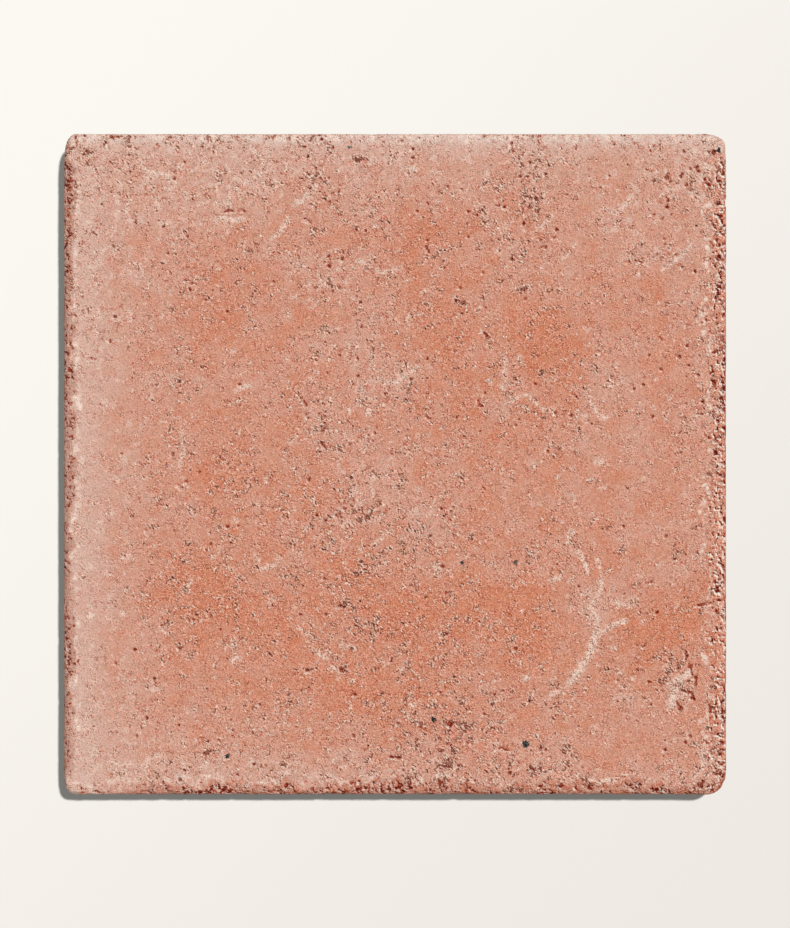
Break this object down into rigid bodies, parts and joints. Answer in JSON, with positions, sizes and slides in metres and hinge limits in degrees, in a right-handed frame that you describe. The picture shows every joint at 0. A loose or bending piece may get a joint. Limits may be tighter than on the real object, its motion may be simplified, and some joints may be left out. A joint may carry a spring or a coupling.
{
  "type": "composite stone tile",
  "caption": "Square cast composite stone paving tile with worn, rounded edges and corners, laid flat on its bedding face.",
  "frame": {"origin": "centre of the bedding face, on the floor that the tile lies on", "axes": "+Z out of the wearing face, +X towards the right side, which is the more worn one, +Y towards the back side"},
  "size_m": [0.3, 0.3, 0.02],
  "materials": {
    "cast_stone": "matte"
  },
  "bodies": {
    "root": {"tile": "cast_stone"}
  },
  "joints": []
}
